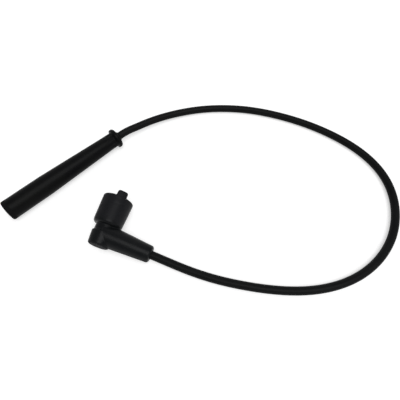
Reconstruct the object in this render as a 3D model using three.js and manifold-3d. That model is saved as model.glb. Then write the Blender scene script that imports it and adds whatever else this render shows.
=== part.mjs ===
// Ignition lead: a long straight spark plug boot and a right-angle coil boot on one cable.
// Millimetres, +Z up. The lead lies on the plane z = 0 as in the photograph. The plug boot's axis
// runs along X, and the origin is the middle of the two boots' box, at the level they lie on.
import * as THREE from 'three';
import { NURBSCurve } from 'three/addons/curves/NURBSCurve.js';
import { mergeVertices } from 'three/addons/utils/BufferGeometryUtils.js';
import Module from 'manifold-3d';

const wasm = await Module();
wasm.setup();

// Shared sizes
const CABLE_D = 7;                  // silicone-jacketed ignition cable
const FIT = 0.3;                    // clearance between pieces that seat on each other
const SHEET = 0.5;                  // sheet metal of both terminals
const BOOT_SIDES = 40;
const METAL_SIDES = 24;

// Plug boot, measured along its axis from its mouth
const PLUG_LENGTH = 118.5;
const PLUG_MOUTH_D = 18.5;
const PLUG_STRAIGHT = 38;           // the part that grips the plug is not tapered
const PLUG_TOP_D = 13.8;            // where the taper meets the collar
const PLUG_LIP = 1;                 // edge round at the mouth
const PLUG_BORE_D = 11.5;           // grips the plug's insulator
const PLUG_BORE_DEPTH = 36;
const PLUG_LEAD_IN = 1.1;           // flare of the bore at the mouth
const SEAL_RIBS = 3;                // rings inside the mouth
const SEAL_RIB_FIRST = 7;
const SEAL_RIB_PITCH = 4.5;
const SEAL_RIB_RISE = 0.45;

// Collar at the plug boot's cable end
const COLLAR_D = 18.5;
const COLLAR_THICK = 4.4;
const COLLAR_FILLET = 1;
const COLLAR_FRONT_ROUND = 1;
const COLLAR_BACK_ROUND = 2;
const SLEEVE_D = 9.4;               // short cone between the collar and the cable
const SLEEVE_END_D = 8.8;
const SLEEVE_LENGTH = 2.2;
const COLLAR_RIBS = 16;             // low ribs along the boot, in front of the collar
const COLLAR_RIB_LENGTH = 9.5;
const COLLAR_RIB_WIDTH = 1;
const COLLAR_RIB_RISE = 0.4;

// Coil boot, measured from where the axes of its barrel and its arm cross
const CAP_MOUTH_D = 26.2;
const CAP_BASE_D = 24.5;
const CAP_LENGTH = 25.5;
const CAP_MOUTH_AT = 32.7;
const CAP_BASE_ROUND = 3;
const CAP_EDGE = 1.3;
const CAP_WALL = 2.8;
const CAP_FLOOR = 4.4;               // solid rubber between the cap's hollow and its neck
const NECK_D = 17.4;
const NECK_LENGTH = 4.2;
const BARREL_D = 19.6;
const BARREL_END_D = 17.8;
const BARREL_END_AT = -10.5;
const BARREL_EDGE = 1.6;
const ARM_LENGTH = 43.2;
const ARM_ROOT_D = 19.4;
const ARM_END_D = 14.4;
const ARM_END_ROUND = 2.2;
const ELBOW_ANGLE = 94;             // degrees between the cap's axis and the arm
const TAB_WIDTH = 8.6;
const TAB_REACH = 4.6;               // past the cap's rim
const TAB_THICK = 2.1;
const TAB_ROUND = 1.8;
const TAB_TURN = 20;                // degrees round the cap, from the side opposite the table to the arm

// Terminals: snap sockets for a 6.35 mm terminal nut
const SNAP_BORE_D = 6.5;
const SNAP_LENGTH = 15;
const SNAP_FLARE = 0.5;
const SNAP_SLOTS = 4;
const SNAP_SLOT_WIDTH = 0.9;
const SNAP_SLOT_LENGTH = 9;
const CRIMP_LENGTH = 10;
const CRIMP_WINDOW = 4.2;           // open stretch between socket and crimp
const CRIMP_SEAM = 1.4;
const GROOVE_AT = 4.4;              // spring ring's place from the snap socket's tip
const GROOVE_DEPTH = 0.25;
const GROOVE_WIDTH = 1.3;
const RING_WIRE_D = 0.7;
const RING_GAP = 30;                // degrees left open
const PLUG_SNAP_TIP = 37.5;         // from the plug boot's mouth
const COIL_SNAP_TIP = 24;           // from the coil boot's crossing
const COIL_CRIMP_AT = 12;           // crimp's near end, along the arm
const STRAP_WIDTH = 3.4;
const STRAP_BEND = 3;

// Where the pieces lie
const MOUTH_AT = [-59.25, 52.65];      // plug boot's mouth, from the origin
const ELBOW_AT = [48.4, -73.55];     // coil boot's crossing, from the plug boot's mouth
const CAP_AZIMUTH = 29.9;           // degrees from +X to the cap's mouth

// The free cable between the boots, from the plug boot's mouth: control points of a cubic B-spline
const CABLE_ROUTE = [
  [127.5, -0.28, 9.2], [137, -2.2, 8.5], [151, -4.3, 7.3], [167, -8.5, 5.8], [184.5, -15.4, 4.4],
  [203.5, -26.1, 3.6],
  [221.5, -41, 3.5], [239, -60, 3.5], [254, -83, 3.5], [266.5, -108, 3.5], [275, -133.5, 3.5],
  [279.5, -158.5, 3.5], [278.5, -181.5, 3.5], [271.5, -201.5, 3.5], [258.5, -218, 3.5],
  [241, -230.5, 3.5], [221, -238, 3.5], [199, -240, 3.5], [177, -236.5, 3.5],
  [156, -227.5, 3.5], [137, -214, 3.5], [120, -197, 3.5], [105, -178.5, 3.5],
  [92, -160, 3.6], [81.5, -141.4, 4],
];

const RUBBER = { color: 0x1b1c1e, roughness: 0.5, metalness: 0 };
const JACKET = { color: 0x17181a, roughness: 0.45, metalness: 0 };
const STEEL = { color: 0xb9bcbf, roughness: 0.3, metalness: 1 };

const radians = THREE.MathUtils.degToRad;

// Sizes that follow from the ones above
const plugAxisZ = Math.max(PLUG_MOUTH_D, COLLAR_D) / 2;
const collarAt = PLUG_LENGTH - SLEEVE_LENGTH - COLLAR_THICK;
const cableBoreR = CABLE_D / 2 + FIT;
const crimpR = cableBoreR + SHEET;
const crimpChamberR = crimpR + FIT;
const snapR = SNAP_BORE_D / 2 + SHEET;
const ringR = snapR - GROOVE_DEPTH + FIT + RING_WIRE_D / 2;
const snapChamberR = Math.max(ringR + RING_WIRE_D / 2, snapR + SNAP_FLARE) + FIT;
const crimpAt = SNAP_LENGTH + CRIMP_WINDOW;
const terminalLength = crimpAt + CRIMP_LENGTH;
const capBaseAt = CAP_MOUTH_AT - CAP_LENGTH;
const neckAt = capBaseAt - NECK_LENGTH;
const capHollowAt = capBaseAt + CAP_FLOOR;
const snapBackAt = COIL_SNAP_TIP - SNAP_LENGTH;

// Points of an arc in a profile. A profile's points are [along the axis, radius].
function arc(along, radius, size, from, to, steps = 5) {
  return Array.from({ length: steps + 1 }, (_, i) => {
    const angle = radians(from + (to - from) * i / steps);
    return [along + size * Math.cos(angle), radius + size * Math.sin(angle)];
  });
}

// A profile turned round the X axis
function revolve(profile, sides) {
  const points = profile.map(([along, radius]) => new THREE.Vector2(radius, along));
  return new THREE.LatheGeometry(points, sides).rotateZ(-Math.PI / 2);
}

function solid(geometry) {
  const bare = geometry.clone();
  bare.deleteAttribute('normal');
  bare.deleteAttribute('uv');
  const welded = mergeVertices(bare, 1e-4);
  const index = welded.index.array;
  const kept = [];
  for (let i = 0; i < index.length; i += 3) {
    const [a, b, c] = [index[i], index[i + 1], index[i + 2]];
    if (a !== b && b !== c && c !== a) kept.push(a, b, c);
  }
  const vertProperties = new Float32Array(welded.attributes.position.array);
  const triVerts = new Uint32Array(kept);
  return new wasm.Manifold(new wasm.Mesh({ numProp: 3, vertProperties, triVerts }));
}

function geometryOf(manifold) {
  const mesh = manifold.getMesh();
  const geometry = new THREE.BufferGeometry();
  geometry.setAttribute('position', new THREE.BufferAttribute(mesh.vertProperties, 3));
  geometry.setIndex(new THREE.BufferAttribute(mesh.triVerts, 1));
  geometry.computeVertexNormals();
  return geometry;
}

function box(width, depth, height, x, y, z) {
  return solid(new THREE.BoxGeometry(width, depth, height).translate(x, y, z));
}

function mesh(name, geometry, finish) {
  const piece = new THREE.Mesh(geometry, new THREE.MeshStandardMaterial(finish));
  piece.name = name;
  return piece;
}

// Plug boot: outside, then everything that is hollow in it
function plugBootOutside() {
  const mouthR = PLUG_MOUTH_D / 2;
  const topR = PLUG_TOP_D / 2;
  const collarR = COLLAR_D / 2;
  const collarBack = collarAt + COLLAR_THICK;
  return revolve([
    [0, 0],
    ...arc(PLUG_LIP, mouthR - PLUG_LIP, PLUG_LIP, 180, 90),
    [PLUG_STRAIGHT, mouthR],
    ...arc(collarAt - COLLAR_FILLET, topR + COLLAR_FILLET, COLLAR_FILLET, 270, 360, 3),
    ...arc(collarAt + COLLAR_FRONT_ROUND, collarR - COLLAR_FRONT_ROUND, COLLAR_FRONT_ROUND, 180, 90, 3),
    ...arc(collarBack - COLLAR_BACK_ROUND, collarR - COLLAR_BACK_ROUND, COLLAR_BACK_ROUND, 90, 15),
    [collarBack + 0.7, SLEEVE_D / 2],
    [PLUG_LENGTH, SLEEVE_END_D / 2],
    [PLUG_LENGTH, 0],
  ], BOOT_SIDES);
}

// Low ribs that stiffen the collar against the pull of a hand: each rises from the taper to the collar
function collarRibs() {
  const topR = PLUG_TOP_D / 2;
  const from = collarAt - COLLAR_RIB_LENGTH;
  const slope = (PLUG_MOUTH_D - PLUG_TOP_D) / 2 / (collarAt - PLUG_STRAIGHT);
  const side = new THREE.Shape();
  side.moveTo(from, topR - 1);
  side.lineTo(collarAt + 1, topR - 1);
  side.lineTo(collarAt + 1, topR + COLLAR_RIB_RISE);
  side.lineTo(collarAt, topR + COLLAR_RIB_RISE);
  side.lineTo(from, topR + slope * COLLAR_RIB_LENGTH - 0.1);
  const blade = new THREE.ExtrudeGeometry(side, { depth: COLLAR_RIB_WIDTH, bevelEnabled: false });
  blade.translate(0, 0, -COLLAR_RIB_WIDTH / 2);
  const ribs = Array.from({ length: COLLAR_RIBS }, (_, i) => (
    solid(blade.clone().rotateX(radians(i * 360 / COLLAR_RIBS)))
  ));
  return ribs.reduce((all, rib) => all.add(rib));
}

function sealRib(number) {
  const at = SEAL_RIB_FIRST + number * SEAL_RIB_PITCH;
  const boreR = PLUG_BORE_D / 2;
  return [[at - 0.9, boreR], [at, boreR - SEAL_RIB_RISE], [at + 0.9, boreR]];
}

function plugBootHollow() {
  const boreR = PLUG_BORE_D / 2;
  const crimpStart = PLUG_SNAP_TIP + crimpAt - FIT;
  const crimpEnd = PLUG_SNAP_TIP + terminalLength + FIT;
  return revolve([
    [-1, 0],
    [-1, boreR + PLUG_LEAD_IN],
    [0, boreR + PLUG_LEAD_IN],
    [2 * PLUG_LEAD_IN, boreR],
    ...Array.from({ length: SEAL_RIBS }, (_, i) => sealRib(i)).flat(),
    [PLUG_BORE_DEPTH, boreR],
    [PLUG_BORE_DEPTH, snapChamberR],
    [crimpStart, snapChamberR],
    [crimpStart, crimpChamberR],
    [crimpEnd, crimpChamberR],
    [crimpEnd, cableBoreR],
    [PLUG_LENGTH + 1, cableBoreR],
    [PLUG_LENGTH + 1, 0],
  ], BOOT_SIDES);
}

function plugBoot() {
  const outside = solid(plugBootOutside()).add(collarRibs());
  return geometryOf(outside.subtract(solid(plugBootHollow())));
}

// Coil boot: cap, neck and barrel turned about X, the arm turned about its own axis
function coilBarrel() {
  const baseR = CAP_BASE_D / 2;
  const mouthR = CAP_MOUTH_D / 2;
  const endR = BARREL_END_D / 2;
  const topR = BARREL_D / 2;
  return revolve([
    [BARREL_END_AT, 0],
    ...arc(BARREL_END_AT + BARREL_EDGE, endR - BARREL_EDGE, BARREL_EDGE, 180, 94, 4),
    ...arc(neckAt - BARREL_EDGE, topR - BARREL_EDGE, BARREL_EDGE, 94, 0, 4),
    [neckAt, NECK_D / 2],
    [capBaseAt, NECK_D / 2],
    ...arc(capBaseAt + CAP_BASE_ROUND, baseR - CAP_BASE_ROUND, CAP_BASE_ROUND, 180, 92),
    ...arc(CAP_MOUTH_AT - CAP_EDGE, mouthR - CAP_EDGE, CAP_EDGE, 92, 0, 3),
    [CAP_MOUTH_AT, 0],
  ], BOOT_SIDES);
}

function alongArm(geometry) {
  return geometry.rotateZ(radians(-ELBOW_ANGLE));
}

function coilArm() {
  const endR = ARM_END_D / 2;
  return alongArm(revolve([
    [0, 0],
    [0, ARM_ROOT_D / 2],
    ...arc(ARM_LENGTH - ARM_END_ROUND, endR - ARM_END_ROUND, ARM_END_ROUND, 87, 0),
    [ARM_LENGTH, 0],
  ], BOOT_SIDES));
}

function capHollow() {
  const baseR = CAP_BASE_D / 2 - CAP_WALL;
  const mouthR = CAP_MOUTH_D / 2 - CAP_WALL;
  return revolve([
    [-crimpChamberR, 0],
    [-crimpChamberR, snapChamberR],
    [capHollowAt, snapChamberR],
    ...arc(capHollowAt + 1, baseR - 1, 1, 180, 92, 3),
    [CAP_MOUTH_AT - CAP_EDGE, mouthR],
    [CAP_MOUTH_AT, mouthR + CAP_EDGE / 2],
    [CAP_MOUTH_AT + 1, mouthR + CAP_EDGE / 2],
    [CAP_MOUTH_AT + 1, 0],
  ], BOOT_SIDES);
}

function armHollow() {
  const crimpEnd = COIL_CRIMP_AT + CRIMP_LENGTH + FIT;
  return alongArm(revolve([
    [0, 0],
    [0, crimpChamberR],
    [crimpEnd, crimpChamberR],
    [crimpEnd, cableBoreR],
    [ARM_LENGTH + 1, cableBoreR],
    [ARM_LENGTH + 1, 0],
  ], BOOT_SIDES));
}

// Tab on the cap's rim: a rounded plate, cut to the curve of the rim and set in from its edge
function rimTab() {
  const reach = TAB_REACH + CAP_LENGTH / 4;
  const half = TAB_WIDTH / 2;
  const from = CAP_MOUTH_AT + TAB_REACH - reach;
  const to = CAP_MOUTH_AT + TAB_REACH;
  const outline = new THREE.Shape();
  outline.moveTo(from, -half);
  outline.lineTo(to - TAB_ROUND, -half);
  outline.absarc(to - TAB_ROUND, TAB_ROUND - half, TAB_ROUND, -Math.PI / 2, 0);
  outline.absarc(to - TAB_ROUND, half - TAB_ROUND, TAB_ROUND, 0, Math.PI / 2);
  outline.lineTo(from, half);
  const plate = new THREE.ExtrudeGeometry(outline, { depth: CAP_MOUTH_D, bevelEnabled: false, curveSegments: 5 });
  const innerR = CAP_MOUTH_D / 2 - CAP_WALL + CAP_EDGE / 2;
  const ring = revolve([
    [from - 1, innerR],
    [from - 1, innerR + TAB_THICK],
    [to + 1, innerR + TAB_THICK],
    [to + 1, innerR],
    [from - 1, innerR],
  ], BOOT_SIDES);
  return solid(plate).intersect(solid(ring)).rotate([TAB_TURN, 0, 0]);
}

function coilBoot() {
  const outside = solid(coilBarrel()).add(solid(coilArm()));
  const hollow = solid(capHollow()).add(solid(armHollow()));
  return geometryOf(outside.subtract(hollow).add(rimTab()));
}

// Snap socket: its tip at 0, its back at SNAP_LENGTH
function snapProfile() {
  const boreR = SNAP_BORE_D / 2;
  const low = GROOVE_AT - GROOVE_WIDTH / 2;
  const high = GROOVE_AT + GROOVE_WIDTH / 2;
  const outside = [
    [0, snapR + SNAP_FLARE], [1.2, snapR], [low, snapR], [low + 0.3, snapR - GROOVE_DEPTH],
    [high - 0.3, snapR - GROOVE_DEPTH], [high, snapR],
  ];
  const inside = outside.map(([along, radius]) => [along, radius - SHEET]).reverse();
  return { outside, inside, boreR };
}

function snapSlots() {
  const wide = snapR * 3;
  const slots = [];
  for (let i = 0; i < SNAP_SLOTS / 2; i += 1) {
    const slot = new THREE.BoxGeometry(SNAP_SLOT_LENGTH + 1, wide, SNAP_SLOT_WIDTH);
    slot.translate((SNAP_SLOT_LENGTH - 1) / 2, 0, 0).rotateX(radians(45 + i * 360 / SNAP_SLOTS));
    slots.push(solid(slot));
  }
  return slots[0].add(slots[1]);
}

// Crimp wings: a seam along the top and a notch between the two pairs
function crimpCuts(at) {
  const wide = crimpR * 3;
  const seam = box(CRIMP_LENGTH + 1, CRIMP_SEAM, wide, at + (CRIMP_LENGTH + 1) / 2, 0, wide / 2);
  const notch = box(1, wide, crimpR * 2, at + CRIMP_LENGTH / 2, 0, crimpR * 0.75);
  return seam.add(notch);
}

// Straight terminal: socket, open window and crimp, rolled from one strip
function plugTerminal() {
  const { outside, inside, boreR } = snapProfile();
  const shell = revolve([
    ...outside,
    [SNAP_LENGTH, snapR],
    [crimpAt - 1, crimpR],
    [terminalLength, crimpR],
    [terminalLength, cableBoreR],
    [crimpAt - 1, cableBoreR],
    [SNAP_LENGTH, boreR],
    ...inside,
    outside[0],
  ], METAL_SIDES);
  const window = box(CRIMP_WINDOW - 0.8, crimpR * 3, crimpR * 2, SNAP_LENGTH + CRIMP_WINDOW / 2, 0, crimpR);
  const cuts = snapSlots().add(window).add(crimpCuts(crimpAt));
  return geometryOf(solid(shell).subtract(cuts));
}

// Right-angle terminal: the socket on the cap's axis, the crimp on the arm's, a bent strap between
function strapPath() {
  const side = snapR - SHEET / 2;
  const under = Math.sqrt(crimpR ** 2 - (STRAP_WIDTH / 2) ** 2) - SHEET / 2;
  const lean = radians(ELBOW_ANGLE - 90);
  const alongArmAxis = new THREE.Vector3(-Math.sin(lean), -Math.cos(lean), 0);
  const awayFromCap = new THREE.Vector3(-Math.cos(lean), Math.sin(lean), 0);
  const armStart = new THREE.Vector3()
    .addScaledVector(alongArmAxis, COIL_CRIMP_AT + 1)
    .addScaledVector(awayFromCap, under);
  const toCorner = (side - armStart.y) / -alongArmAxis.y;
  const corner = armStart.clone().addScaledVector(alongArmAxis, -toCorner);
  const bendIn = corner.clone().addScaledVector(alongArmAxis, STRAP_BEND);
  const bendOut = corner.clone().add(new THREE.Vector3(STRAP_BEND, 0, 0));
  const path = new THREE.CurvePath();
  path.add(new THREE.LineCurve3(armStart, bendIn));
  path.add(new THREE.QuadraticBezierCurve3(bendIn, corner, bendOut));
  path.add(new THREE.LineCurve3(bendOut, new THREE.Vector3(snapBackAt + 1, side, 0)));
  return path;
}

function strap() {
  const section = new THREE.Shape();
  const half = STRAP_WIDTH / 2;
  const thick = SHEET * 0.8;
  section.moveTo(-half, -thick / 2);
  section.lineTo(half, -thick / 2);
  section.lineTo(half, thick / 2);
  section.lineTo(-half, thick / 2);
  return new THREE.ExtrudeGeometry(section, { steps: 24, extrudePath: strapPath(), bevelEnabled: false });
}

function coilTerminal() {
  const { outside, inside, boreR } = snapProfile();
  const socket = revolve([
    ...outside, [SNAP_LENGTH, snapR], [SNAP_LENGTH, boreR], ...inside, outside[0],
  ], METAL_SIDES);
  const snap = solid(socket).subtract(snapSlots());
  const turned = snap.rotate([0, 0, 180]).translate([COIL_SNAP_TIP, 0, 0]);
  const crimpTube = revolve([
    [0, cableBoreR], [0, crimpR], [CRIMP_LENGTH, crimpR], [CRIMP_LENGTH, cableBoreR], [0, cableBoreR],
  ], METAL_SIDES);
  const crimp = solid(crimpTube).subtract(crimpCuts(0).rotate([-90, 0, 0]));
  const placed = crimp.translate([COIL_CRIMP_AT, 0, 0]).rotate([0, 0, -ELBOW_ANGLE]);
  return geometryOf(turned.add(placed).add(solid(strap())));
}

// Split spring ring that sits in the snap socket's groove
function springRing() {
  const sweep = radians(360 - RING_GAP);
  const steps = 24;
  const points = Array.from({ length: steps + 1 }, (_, i) => {
    const angle = radians(90 + RING_GAP / 2) + sweep * i / steps;
    return new THREE.Vector3(0, ringR * Math.cos(angle), ringR * Math.sin(angle));
  });
  const section = new THREE.Shape().absarc(0, 0, RING_WIRE_D / 2, 0, 2 * Math.PI);
  return new THREE.ExtrudeGeometry(section, {
    steps, extrudePath: new THREE.CatmullRomCurve3(points), curveSegments: 4, bevelEnabled: false,
  });
}

// The coil boot lies with the side of its cap and the end of its arm on the surface
function layCoilBoot(group) {
  const baseR = CAP_BASE_D / 2;
  const mouthR = CAP_MOUTH_D / 2;
  const rise = Math.atan2(mouthR - baseR, CAP_LENGTH - CAP_BASE_ROUND - CAP_EDGE);
  const height = (mouthR - (CAP_MOUTH_AT - CAP_EDGE) * Math.tan(rise)) / Math.cos(rise);
  const armR = ARM_END_D / 2;
  const reach = (ARM_LENGTH - ARM_END_ROUND) * Math.sin(radians(ELBOW_ANGLE));
  const lean = (ARM_LENGTH - ARM_END_ROUND) * Math.cos(radians(ELBOW_ANGLE)) * Math.sin(rise);
  const roll = Math.asin((height + lean - armR) / reach);
  group.position.set(ELBOW_AT[0], ELBOW_AT[1], height);
  group.rotation.set(roll, -rise, radians(CAP_AZIMUTH), 'ZYX');
}

function routeCurve(coilGroup) {
  const plugAxis = (along) => new THREE.Vector3(along, 0, plugAxisZ);
  const armAxis = (along) => {
    const angle = radians(-ELBOW_ANGLE);
    return coilGroup.localToWorld(new THREE.Vector3(along * Math.cos(angle), along * Math.sin(angle), 0));
  };
  coilGroup.updateMatrixWorld();
  const start = PLUG_SNAP_TIP + crimpAt + FIT;
  const points = [
    ...[0, 1 / 3, 2 / 3, 1].map((share) => plugAxis(start + (PLUG_LENGTH - start) * share)),
    ...CABLE_ROUTE.map((point) => new THREE.Vector3(...point)),
    armAxis(ARM_LENGTH + 12),
    armAxis(ARM_LENGTH - 8),
    armAxis(COIL_CRIMP_AT + 1 + FIT),
  ];
  const degree = 3;
  const inner = Array.from({ length: points.length - degree - 1 }, (_, i) => i + 1);
  const last = points.length - degree;
  const knots = [0, 0, 0, 0, ...inner, last, last, last, last];
  return new NURBSCurve(degree, knots, points.map((p) => new THREE.Vector4(p.x, p.y, p.z, 1)));
}

function cable(coilGroup) {
  const section = new THREE.Shape().absarc(0, 0, CABLE_D / 2, 0, 2 * Math.PI);
  const path = routeCurve(coilGroup);
  const steps = Math.round(path.getLength() / (CABLE_D * 2));
  return new THREE.ExtrudeGeometry(section, { steps, extrudePath: path, curveSegments: 5, bevelEnabled: false });
}

const group = new THREE.Group();
group.position.set(MOUTH_AT[0], MOUTH_AT[1], 0);

const plugEnd = new THREE.Group();
plugEnd.position.set(0, 0, plugAxisZ);
const plugTerminalMesh = mesh('plug_terminal', plugTerminal(), STEEL);
plugTerminalMesh.position.x = PLUG_SNAP_TIP;
const plugRing = mesh('plug_terminal_spring', springRing(), STEEL);
plugRing.position.x = PLUG_SNAP_TIP + GROOVE_AT;
plugEnd.add(mesh('plug_boot', plugBoot(), RUBBER), plugTerminalMesh, plugRing);

const coilEnd = new THREE.Group();
layCoilBoot(coilEnd);
const coilRing = mesh('coil_terminal_spring', springRing(), STEEL);
coilRing.position.x = COIL_SNAP_TIP - GROOVE_AT;
coilEnd.add(mesh('coil_boot', coilBoot(), RUBBER), mesh('coil_terminal', coilTerminal(), STEEL), coilRing);

group.add(plugEnd, mesh('ignition_cable', cable(coilEnd), JACKET), coilEnd);

export default group;
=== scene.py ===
"""Ignition lead, dressed: a long plug boot, a right-angle coil boot, their terminals and the cable."""

import logging
import math
from dataclasses import dataclass, field
from enum import Enum

import bmesh
import bpy
from mathutils import Matrix, Vector


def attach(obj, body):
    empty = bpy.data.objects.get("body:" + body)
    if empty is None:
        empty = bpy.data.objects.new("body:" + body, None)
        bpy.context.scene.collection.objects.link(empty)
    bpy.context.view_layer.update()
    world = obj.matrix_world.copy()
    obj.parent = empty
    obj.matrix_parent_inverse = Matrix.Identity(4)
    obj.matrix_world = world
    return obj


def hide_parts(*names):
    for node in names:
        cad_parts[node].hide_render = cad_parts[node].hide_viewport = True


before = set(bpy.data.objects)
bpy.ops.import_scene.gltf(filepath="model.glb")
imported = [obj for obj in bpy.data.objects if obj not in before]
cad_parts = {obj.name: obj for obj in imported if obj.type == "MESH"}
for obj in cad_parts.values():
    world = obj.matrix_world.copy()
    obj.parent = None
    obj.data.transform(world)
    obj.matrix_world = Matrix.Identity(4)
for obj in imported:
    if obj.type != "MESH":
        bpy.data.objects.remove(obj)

LOG = logging.getLogger("ignition_lead")
MM = 0.001
Profile = list[tuple[float, float]]
Colour = tuple[float, float, float]
Mesh, Shape = bpy.types.Mesh, bmesh.types.BMesh
Piece, Finish = bpy.types.Object, bpy.types.Material
Socket, Tree = bpy.types.NodeSocket, bpy.types.NodeTree

# Sizes in mm, here and in every class; MM turns them to metres where a mesh is made.
FIT = 0.3                               # clearance between pieces that seat on each other
CABLE_D = 7.0
CABLE_BORE_R = 3.8
SHEET = 0.5
CRIMP_R = CABLE_BORE_R + SHEET
CRIMP_CHAMBER_R = CRIMP_R + FIT
SNAP_BORE_R = 3.25
SNAP_R = SNAP_BORE_R + SHEET
SNAP_CHAMBER_R = 4.8
SNAP_LENGTH = 15.0
RING_AT = 4.4                           # spring ring's middle, from the socket's tip
CRIMP_AT = 19.2                         # plug terminal's crimp, from its tip
CRIMP_LENGTH = 10.0
PLUG_TIP = 37.5                         # socket's tip, from the plug boot's mouth
COIL_TIP = 24.0                         # socket's tip, from the coil boot's crossing
COIL_CRIMP_AT = 12.0                    # crimp's near end, along the arm
MOUTH = Vector((-59.25, 52.65, 9.25))   # middle of the plug boot's mouth, in the row frame


class Join(Enum):
    """How one closed mesh is combined with another."""

    UNION = "UNION"
    CUT = "DIFFERENCE"
    COMMON = "INTERSECT"


class Slot(Enum):
    """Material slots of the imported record."""

    BOOT = "boot_rubber"
    CABLE = "cable_jacket"
    TERMINAL = "terminal_steel"
    SPRING = "spring_steel"


def arc(along: float, radius: float, size: float, start: float, end: float, steps: int = 8) -> Profile:
    """Gives points of an arc in a profile.

    Args:
        along: the arc's centre along the axis, in mm.
        radius: the arc's centre from the axis, in mm.
        size: the arc's own radius, in mm.
        start: first angle in degrees; 0 is along the axis, 90 away from it.
        end: last angle in degrees.
        steps: stretches in the arc.

    Returns:
        Points as (along the axis, radius), in mm.
    """
    turns = [math.radians(start + (end - start) * i / steps) for i in range(steps + 1)]
    return [(along + size * math.cos(t), radius + size * math.sin(t)) for t in turns]


def between(first: tuple[float, float], last: tuple[float, float], steps: int) -> Profile:
    """Gives the inner points of a straight stretch of a profile.

    Args:
        first: the stretch's first point, left out.
        last: the stretch's last point, left out.
        steps: parts that the stretch is divided in.

    Returns:
        The points between the two.
    """
    return [
        (first[0] + (last[0] - first[0]) * i / steps, first[1] + (last[1] - first[1]) * i / steps)
        for i in range(1, steps)
    ]


def spun(profile: Profile, sides: int, closed: bool = True) -> Shape:
    """Turns a profile round the X axis.

    Args:
        profile: points as (along, radius) in mm, a ring or a line that starts and ends on the axis.
        sides: steps of the full turn.
        closed: True for a ring, False for a line from axis to axis.

    Returns:
        A closed bmesh with its faces outwards, in metres.
    """
    shape = bmesh.new()
    points = [shape.verts.new((along * MM, 0, radius * MM)) for along, radius in profile]
    for first, last in zip(points, points[1:] + (points[:1] if closed else [])):
        shape.edges.new((first, last))
    bmesh.ops.spin(
        shape, geom=shape.verts[:] + shape.edges[:], cent=(0, 0, 0), axis=(1, 0, 0),
        angle=math.tau, steps=sides, use_merge=True,
    )
    bmesh.ops.remove_doubles(shape, verts=shape.verts, dist=1e-7)
    bmesh.ops.recalc_face_normals(shape, faces=shape.faces)
    return shape


def block(size: tuple[float, float, float], centre: tuple[float, float, float]) -> Shape:
    """Makes a box.

    Args:
        size: its length along X, Y and Z, in mm.
        centre: its middle, in mm.

    Returns:
        The box as a bmesh, in metres.
    """
    shape = bmesh.new()
    place = Matrix.Translation(Vector(centre) * MM) @ Matrix.Diagonal((*[v * MM for v in size], 1))
    bmesh.ops.create_cube(shape, size=1, matrix=place)
    return shape


def mesh_of(shape: Shape, name: str, place: Matrix | None = None) -> Mesh:
    """Writes a bmesh to a mesh and frees it.

    Args:
        shape: the bmesh.
        name: the mesh's name.
        place: where the shape goes, in metres.

    Returns:
        The mesh.
    """
    if place is not None:
        bmesh.ops.transform(shape, matrix=place, verts=shape.verts)
    mesh = bpy.data.meshes.new(name)
    shape.to_mesh(mesh)
    shape.free()
    return mesh


def show(mesh: Mesh | bpy.types.Curve, name: str) -> Piece:
    """Links a mesh or a curve to the scene as an object at the origin.

    Args:
        mesh: the mesh or curve.
        name: the object's name.

    Returns:
        The object.
    """
    piece = bpy.data.objects.new(name, mesh)
    bpy.context.scene.collection.objects.link(piece)
    return piece


def applied(piece: Piece) -> Mesh:
    """Applies the modifiers of an object and removes it.

    Args:
        piece: the object.

    Returns:
        The mesh that its modifiers make.
    """
    made = bpy.data.meshes.new_from_object(piece.evaluated_get(bpy.context.evaluated_depsgraph_get()))
    bpy.data.objects.remove(piece)
    return made


def combined(base: Mesh, tool: Mesh, how: Join) -> Mesh:
    """Joins or cuts one closed mesh with another.

    Args:
        base: the mesh to work on.
        tool: the mesh that is added or taken away.
        how: the kind of join.

    Returns:
        The new mesh.
    """
    first, second = show(base, "base"), show(tool, "tool")
    change = first.modifiers.new("join", "BOOLEAN")
    change.operation, change.solver, change.object = how.value, "EXACT", second
    made = applied(first)
    bpy.data.objects.remove(second)
    return made


def extruded(shape: Shape, edges: list[bmesh.types.BMEdge]) -> tuple[list, list]:
    """Extrudes a row or ring of edges in place.

    Args:
        shape: the bmesh.
        edges: its edges.

    Returns:
        The new vertices and the new edges, still where the old ones are.
    """
    made = bmesh.ops.extrude_edge_only(shape, edges=edges)["geom"]
    kinds = (bmesh.types.BMVert, bmesh.types.BMEdge)
    return tuple([part for part in made if isinstance(part, kind)] for kind in kinds)


def rounded(shape: Shape, edges: list[bmesh.types.BMEdge], size: float, segments: int) -> None:
    """Rounds edges.

    Args:
        shape: the bmesh.
        edges: the edges that are rounded.
        size: how far the round reaches from each edge, in mm.
        segments: steps of the round.
    """
    bmesh.ops.bevel(
        shape, geom=edges, offset=size * MM, offset_type="OFFSET", segments=segments, profile=0.5,
        affect="EDGES", material=-1,
    )


def smooth(mesh: Mesh, sharp_above: float = 40) -> None:
    """Shades a mesh smooth, with edges sharper than the angle in degrees kept crisp."""
    mesh.shade_smooth()
    mesh.set_sharp_from_angle(angle=math.radians(sharp_above))


def fit(piece: Piece, nodes: tuple[str, ...], finish: Finish) -> None:
    """Puts a finished piece in the frame.

    Args:
        piece: the piece.
        nodes: CAD nodes that it stands for.
        finish: its material.
    """
    piece.data.materials.clear()
    piece.data.materials.append(finish)
    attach(piece, "root")
    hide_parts(*nodes)


def finished(mesh: Mesh, node: str, finish: Finish, sharp_above: float) -> Piece:
    """Shows a finished mesh in place of its CAD node.

    Args:
        mesh: the mesh, in the row frame.
        node: the CAD node that it stands for.
        finish: its material.
        sharp_above: edges sharper than this, in degrees, are kept crisp.

    Returns:
        The piece.
    """
    piece = show(mesh, f"{node}_dressed")
    smooth(mesh, sharp_above)
    fit(piece, (node,), finish)
    return piece


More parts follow.
